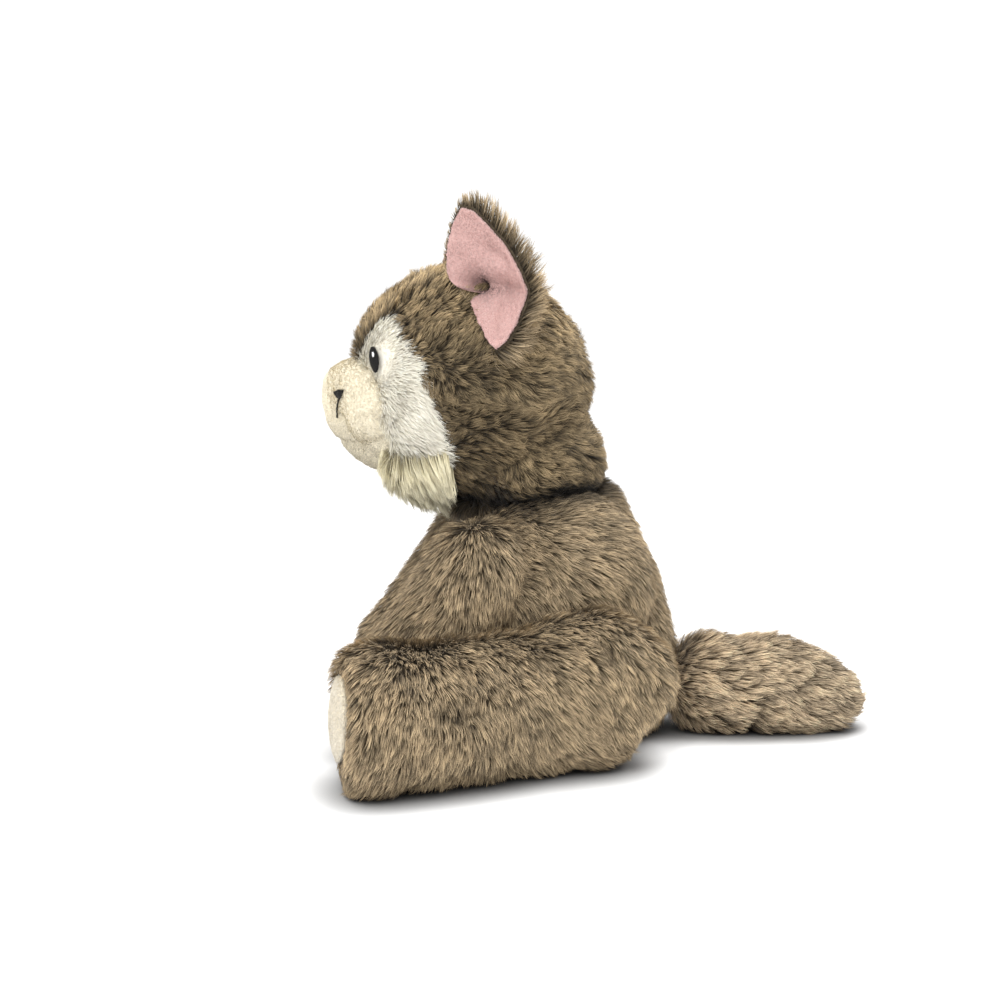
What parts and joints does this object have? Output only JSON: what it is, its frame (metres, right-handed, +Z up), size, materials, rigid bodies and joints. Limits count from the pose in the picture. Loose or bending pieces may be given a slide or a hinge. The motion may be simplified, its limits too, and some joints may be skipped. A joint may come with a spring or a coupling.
{
  "type": "plush cat",
  "caption": "Seated stuffed toy cat in brown faux fur with a pale face, sprawled legs and a straight tail; head, ears, limbs and tail move at their seams.",
  "frame": {"origin": "on the floor under the middle of the bounding box", "axes": "+Z up, the cat faces -Y and its left side is at +X"},
  "size_m": [0.2571, 0.2654, 0.261],
  "materials": {
    "brown_fur": "matte",
    "white_fur": "matte",
    "cream_pile": "matte",
    "pink_pile": "matte",
    "dark_thread": "matte",
    "white_thread": "matte",
    "fibre": "matte",
    "pouch_cloth": "matte"
  },
  "bodies": {
    "torso": {"torso_left": "brown_fur", "torso_right": "brown_fur", "torso_belly": "brown_fur", "torso_base": "brown_fur", "torso_filling": "fibre", "pellet_pouch": "pouch_cloth"},
    "neck": {"neck_filling": "fibre"},
    "head": {"crown_gusset": "brown_fur", "head_side_left": "brown_fur", "head_side_right": "brown_fur", "face_patch_left": "white_fur", "face_patch_right": "white_fur", "chin_ruff": "white_fur", "muzzle_left": "cream_pile", "muzzle_right": "cream_pile", "nose": "dark_thread", "mouth": "dark_thread", "eye_left": "dark_thread", "eye_right": "dark_thread", "eye_left_glint": "white_thread", "eye_right_glint": "white_thread", "head_filling": "fibre"},
    "ear_left": {"ear_left_back": "brown_fur", "ear_left_inner": "pink_pile"},
    "ear_right": {"ear_right_back": "brown_fur", "ear_right_inner": "pink_pile"},
    "arm_left": {"arm_left_outer": "brown_fur", "arm_left_inner": "brown_fur", "arm_left_filling": "fibre"},
    "arm_right": {"arm_right_outer": "brown_fur", "arm_right_inner": "brown_fur", "arm_right_filling": "fibre"},
    "leg_left": {"leg_left_outer": "brown_fur", "leg_left_inner": "brown_fur", "leg_left_sole": "cream_pile", "leg_left_filling": "fibre"},
    "leg_right": {"leg_right_outer": "brown_fur", "leg_right_inner": "brown_fur", "leg_right_sole": "cream_pile", "leg_right_filling": "fibre"},
    "tail": {"tail_left": "brown_fur", "tail_right": "brown_fur", "tail_filling": "fibre"}
  },
  "joints": [
    {"name": "neck_turn", "type": "hinge", "parent": "torso", "child": "neck", "pos_m": [0, -0.0448, 0.1195], "axis": [0, 0, 1], "range_deg": [-25, 25], "stiffness_Nm_per_rad": 0.4},
    {"name": "neck_nod", "type": "hinge", "parent": "neck", "child": "head", "pos_m": [0, -0.0448, 0.1195], "axis": [0.9877, 0.1564, 0], "range_deg": [-8, 8], "stiffness_Nm_per_rad": 0.6},
    {"name": "ear_left_fold", "type": "hinge", "parent": "head", "child": "ear_left", "pos_m": [0.05049, -0.06313, 0.21], "axis": [0.4561, 0.467, -0.7575], "range_deg": [-2, 15], "stiffness_Nm_per_rad": 0.03},
    {"name": "ear_right_fold", "type": "hinge", "parent": "head", "child": "ear_right", "pos_m": [-0.04235, -0.07783, 0.21], "axis": [0.5781, -0.3032, 0.7575], "range_deg": [-2, 15], "stiffness_Nm_per_rad": 0.03},
    {"name": "arm_left_swing", "type": "hinge", "parent": "torso", "child": "arm_left", "pos_m": [0.049, -0.0563, 0.0895], "axis": [-1, 0, 0], "range_deg": [0, 45], "stiffness_Nm_per_rad": 0.12},
    {"name": "arm_right_swing", "type": "hinge", "parent": "torso", "child": "arm_right", "pos_m": [-0.049, -0.0563, 0.0895], "axis": [-1, 0, 0], "range_deg": [0, 45], "stiffness_Nm_per_rad": 0.12},
    {"name": "leg_left_swing", "type": "hinge", "parent": "torso", "child": "leg_left", "pos_m": [0.0655, -0.0008, 0.036], "axis": [-1, 0, 0], "range_deg": [-12, 0], "stiffness_Nm_per_rad": 0.25},
    {"name": "leg_right_swing", "type": "hinge", "parent": "torso", "child": "leg_right", "pos_m": [-0.0655, -0.0008, 0.036], "axis": [-1, 0, 0], "range_deg": [-12, 0], "stiffness_Nm_per_rad": 0.25},
    {"name": "tail_wag", "type": "hinge", "parent": "torso", "child": "tail", "pos_m": [0, 0.0617, 0.0225], "axis": [0, 0, 1], "range_deg": [-30, 30], "stiffness_Nm_per_rad": 0.1}
  ]
}
